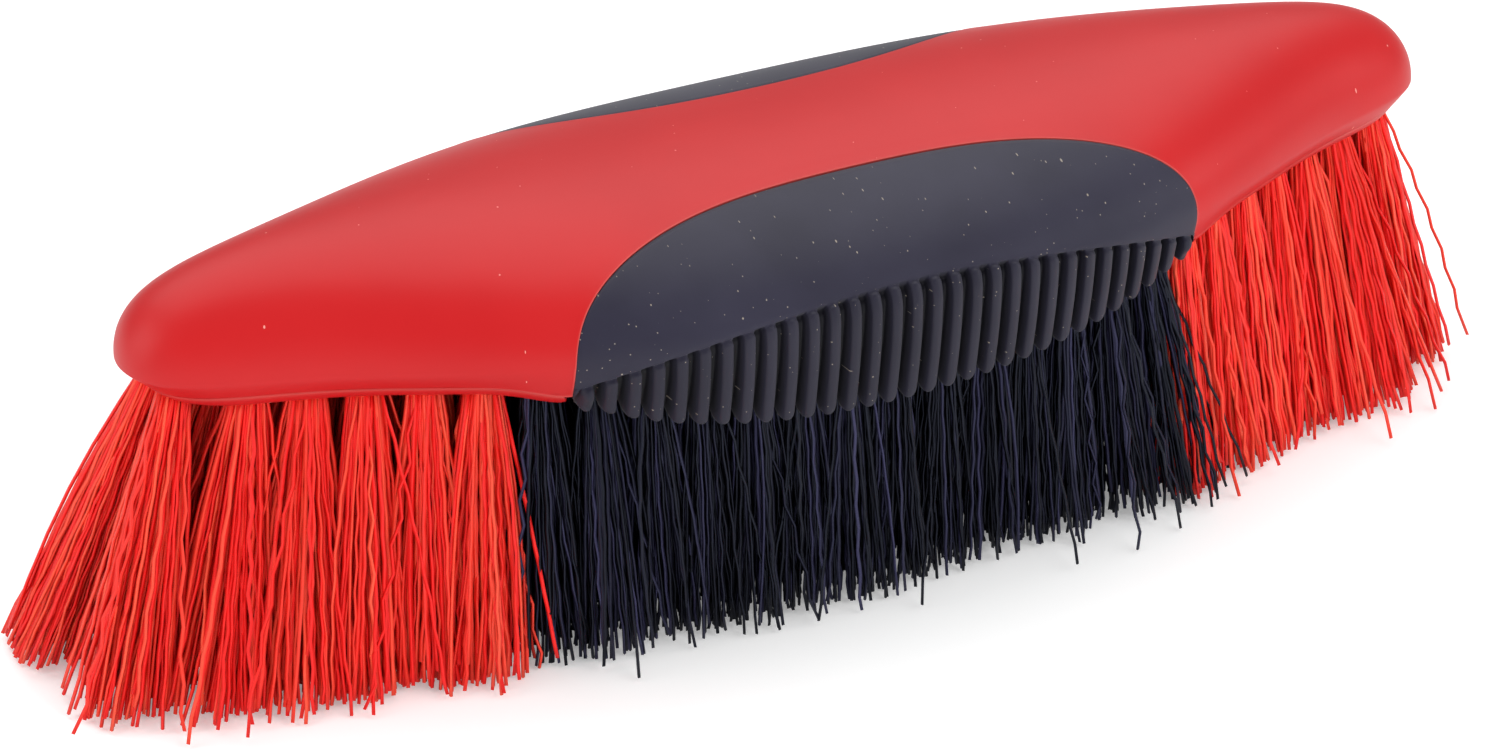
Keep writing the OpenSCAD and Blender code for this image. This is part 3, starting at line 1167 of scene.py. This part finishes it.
    def strands(
        self, middles: np.ndarray, count: int, radius: float, rng: np.random.Generator
    ) -> tuple[np.ndarray, list[list[int]], np.ndarray]:
        """Filaments of some tufts.

        Each runs from its place in the hole, on a sunflower spiral, to a wider place at the trimmed tips and
        bows a little. Its rings lie on the crests of its crimp, to one side and the other in turn. A few
        stray further, and a few are cut short.

        Args:
            middles: Tuft positions (n, 2).
            count: Filament ends in a tuft.
            radius: Radius of a filament.
            rng: Source of seeded random numbers.

        Returns:
            Vertices, faces and a tone for every vertex.
        """
        n, total = len(middles), len(middles) * count
        s = np.abs(middles[:, 0]) / self.form.half_l
        tip, held = self.tips(middles)
        tip = tip + rng.normal(0.0, self.tilt, (n, 2))
        i = np.tile(np.arange(count), n)
        spin = i * GOLDEN_ANGLE + np.repeat(rng.uniform(0.0, math.tau, n), count)
        disc = np.stack([np.cos(spin), np.sin(spin)], axis=-1) * np.sqrt((i + 0.5) / count)[:, None]
        root = np.repeat(middles, count, axis=0) + disc * self.root_r
        wild = rng.uniform(size=total) < self.stray_share
        stray = np.where(wild, self.stray_by - self.stray_held * np.repeat(held, count), 1.0)
        nose = np.where(middles[:, 0] < 0.0, 0.4, 1.0) * self.at_nose(s)
        wide = self.tip_r + (self.end_tip_r - self.tip_r) * smooth(0.66, 0.84, s) * (1.0 - nose)
        end = np.repeat(tip, count, axis=0) + disc * np.repeat(wide, count)[:, None]
        end += rng.normal(0.0, self.loose, (total, 2)) * stray[:, None]
        end = np.clip(end, -self.reach, self.reach)
        cut = rng.uniform(size=total) < self.short_share
        short = np.where(cut, rng.uniform(*self.short_by, total), 0.0)
        end_z = np.abs(rng.normal(0.0, self.ragged, total)) + short + self.tip_gap
        a = np.column_stack([root, self.form.sole(root[:, 0]) + self.hidden])
        b = np.column_stack([end, end_z])
        step = np.arange(self.rings) + rng.uniform(-0.45, 0.45, (total, 1))
        u = np.clip(step / (self.rings - 1.0), 0.0, 1.0)
        u[:, 0], u[:, -1] = 0.0, 1.0
        aim = (b - a) / np.linalg.norm(b - a, axis=1, keepdims=True)
        yaw = rng.uniform(0.0, math.tau, total)
        side = np.stack([np.cos(yaw), np.sin(yaw), np.zeros(total)], axis=-1)
        side -= aim * (side * aim).sum(-1, keepdims=True)
        side /= np.linalg.norm(side, axis=-1, keepdims=True)
        cross = np.cross(aim, side)
        turn = np.where(np.arange(self.rings) % 2 == 0, 1.0, -1.0)
        crimp = self.crimp * np.where(wild, self.stray_crimp, 1.0) * rng.uniform(0.4, 1.3, total)
        wave = crimp[:, None] * turn * smooth(0.02, 0.2, u)
        bow = rng.normal(0.0, self.bow, (total, 1)) * np.sin(u * math.pi)
        line = a[:, None] + (b - a)[:, None] * u[..., None]
        line = line + side[:, None] * wave[..., None] + cross[:, None] * bow[..., None]
        tone = np.clip(rng.normal(0.55, 0.25, total), 0.0, 1.0)
        verts, faces = self.tubes(line, side, cross, radius)
        return verts, faces, np.repeat(tone, self.rings * self.sides)

    def build(self, red: bpy.types.Material, dark: bpy.types.Material) -> list[bpy.types.Object]:
        """Builds all the bristles.

        Args:
            red: Filament of the ends.
            dark: Filament of the middle.

        Returns:
            The pieces.
        """
        rng = np.random.default_rng(self.seed)
        made = []
        for row in Row:
            places = self.tufts(row)
            number = self.zone(places[:, 0])
            for k, zone in enumerate(Zone):
                chosen = places[number == k]
                if not len(chosen):
                    continue
                name = f"{row.name.lower()}_{zone.value}"
                middle = zone is Zone.MIDDLE
                size = (self.dark_count, self.dark_radius) if middle else (self.count, self.radius)
                verts, faces, tone = self.strands(chosen, *size, rng)
                piece = add_piece(f"bristles_{name}", verts, faces, dark if middle else red, {"tone": tone})
                settle(piece, "dark_bristle" if middle else "red_bristle", f"tufts_{name}")
                made.append(piece)
        return made


@dataclass
class Studio:
    """Camera, lights and floor of a plain product picture."""

    azimuth: float = -26.235
    elevation: float = 30.046
    roll: float = -0.469
    distance: float = 534.74
    focal_px: float = 3860.2
    shift: tuple[float, float] = (8.44, 31.547)
    target_z: float = 54.0
    width_px: int = 1485
    sensor: float = 36.0
    surround: float = 0.32
    floor_half: float = 4.0
    floor_drop: float = 0.0002
    floor_glow: float = 0.25

    def camera(self) -> bpy.types.Object:
        """Places the camera of the reference picture.

        Returns:
            The camera.
        """
        az, el, ro = (math.radians(v) for v in (self.azimuth, self.elevation, self.roll))
        right = Vector((math.cos(az), math.sin(az), 0.0))
        back = Vector((math.sin(az) * math.cos(el), -math.cos(az) * math.cos(el), math.sin(el)))
        up = back.cross(right)
        across = right * math.cos(ro) + up * math.sin(ro)
        above = up * math.cos(ro) - right * math.sin(ro)
        aside = across * self.shift[0] + above * self.shift[1]
        spot = Vector((0.0, 0.0, self.target_z)) - aside + back * self.distance
        data = bpy.data.cameras.new("camera")
        data.sensor_width = self.sensor
        data.lens = self.focal_px / self.width_px * self.sensor
        data.clip_start, data.clip_end = 0.05, 20.0
        cam = bpy.data.objects.new("camera", data)
        turn = Matrix((across, above, back)).transposed().to_4x4()
        cam.matrix_world = Matrix.Translation(spot * MM) @ turn
        bpy.context.scene.collection.objects.link(cam)
        bpy.context.scene.camera = cam
        return cam

    @staticmethod
    def area(
        name: str, spot: tuple, aim: tuple, size: tuple[float, float], power: float, mirrored: bool
    ) -> bpy.types.Object:
        """Adds a soft rectangular light.

        Args:
            name: Its name.
            spot: Where it hangs, in metres.
            aim: Where it points, in metres.
            size: Its width and height in metres.
            power: Its power in watts.
            mirrored: Whether glossy surfaces mirror it.

        Returns:
            The light.
        """
        data = bpy.data.lights.new(name, "AREA")
        data.shape = "RECTANGLE"
        data.size, data.size_y = size
        data.energy = power
        lamp = bpy.data.objects.new(name, data)
        lamp.location = spot
        lamp.visible_glossy = mirrored
        lamp.rotation_mode = "QUATERNION"
        lamp.rotation_quaternion = (Vector(aim) - Vector(spot)).to_track_quat("-Z", "Y")
        bpy.context.scene.collection.objects.link(lamp)
        return lamp

    def world(self) -> None:
        """Sets an even white surround, plain white where the camera sees it."""
        world = bpy.data.worlds.new("surround")
        bpy.context.scene.world = world
        world.use_nodes = True
        tree = world.node_tree
        tree.nodes.clear()
        path = tree.nodes.new("ShaderNodeLightPath")
        soft, plain = tree.nodes.new("ShaderNodeBackground"), tree.nodes.new("ShaderNodeBackground")
        soft.inputs["Color"].default_value = (1.0, 1.0, 1.0, 1.0)
        soft.inputs["Strength"].default_value = self.surround
        plain.inputs["Color"].default_value = (1.0, 1.0, 1.0, 1.0)
        plain.inputs["Strength"].default_value = 1.0
        mix = tree.nodes.new("ShaderNodeMixShader")
        out = tree.nodes.new("ShaderNodeOutputWorld")
        tree.links.new(path.outputs["Is Camera Ray"], mix.inputs[0])
        tree.links.new(soft.outputs[0], mix.inputs[1])
        tree.links.new(plain.outputs[0], mix.inputs[2])
        tree.links.new(mix.outputs[0], out.inputs["Surface"])

    def floor(self) -> bpy.types.Object:
        """Lays a pale floor under the bristle tips.

        Returns:
            The floor.
        """
        n = Nodes("floor")
        n.shader.inputs["Base Color"].default_value = (0.94, 0.94, 0.94, 1.0)
        n.shader.inputs["Roughness"].default_value = 0.9
        n.shader.inputs["Specular IOR Level"].default_value = 0.0
        n.shader.inputs["Emission Color"].default_value = (1.0, 1.0, 1.0, 1.0)
        seen = n.add("ShaderNodeLightPath").outputs["Is Camera Ray"]
        n.tree.links.new(n.reckon("MULTIPLY", seen, self.floor_glow), n.shader.inputs["Emission Strength"])
        mesh = bpy.data.meshes.new("floor")
        r = self.floor_half
        mesh.from_pydata([(-r, -r, 0.0), (r, -r, 0.0), (r, r, 0.0), (-r, r, 0.0)], [], [(0, 1, 2, 3)])
        mesh.materials.append(n.material)
        floor = bpy.data.objects.new("floor", mesh)
        floor.location.z = -self.floor_drop
        bpy.context.scene.collection.objects.link(floor)
        floor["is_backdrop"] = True
        return floor

    def build(self) -> None:
        """Builds the whole set."""
        scene = bpy.context.scene
        scene.view_settings.view_transform = "Standard"
        self.camera()
        self.world()
        self.floor()
        self.area("top", (0.1, 0.45, 0.95), (0.0, 0.0, 0.05), (1.6, 1.2), 9.6, True)
        self.area("right", (0.9, -0.6, 0.5), (0.05, 0.0, 0.04), (0.6, 0.6), 2.5, True)
        self.area("left", (-0.95, 0.2, 0.4), (-0.08, 0.0, 0.03), (0.7, 0.7), 2.6, True)
        self.area("key", (0.4, -0.85, 0.6), (0.0, 0.0, 0.04), (0.7, 0.6), 4.4, False)
        self.area("front", (-0.75, -0.85, 0.25), (-0.02, 0.0, 0.03), (1.0, 0.4), 4.6, False)


def main() -> None:
    """Builds the brush's looks and reports its pieces."""
    logging.basicConfig(level=logging.INFO, format="%(name)s: %(message)s")
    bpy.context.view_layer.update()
    form = Form()
    red, navy, wire = RedPlastic().build(), NavyRubber().build(), Wire().build()
    red_hair = Filament("red_bristle", (248, 33, 30), (255, 88, 62), lift=0.4).build()
    dark_hair = Filament("dark_bristle", (8, 8, 11), (54, 52, 80), (205, 215, 255), 0.38, 0.6).build()
    settle(Shell(form).build(red), "red_plastic", "handle_shell")
    settle(Plate(form).build(red), "red_plastic", "tuft_plate")
    settle(Grip(form).build(navy, -1), "navy_rubber", "grip_front")
    settle(Grip(form).build(navy, 1), "navy_rubber", "grip_rear")
    Bristles(form).build(red_hair, dark_hair)
    for name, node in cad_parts.items():
        if name.startswith("anchors_"):
            node.data.materials.clear()
            node.data.materials.append(wire)
    Studio().build()
    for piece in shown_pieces():
        LOG.info("%s: %d faces", piece.name, len(piece.data.polygons))


if __name__ == "__main__":
    main()
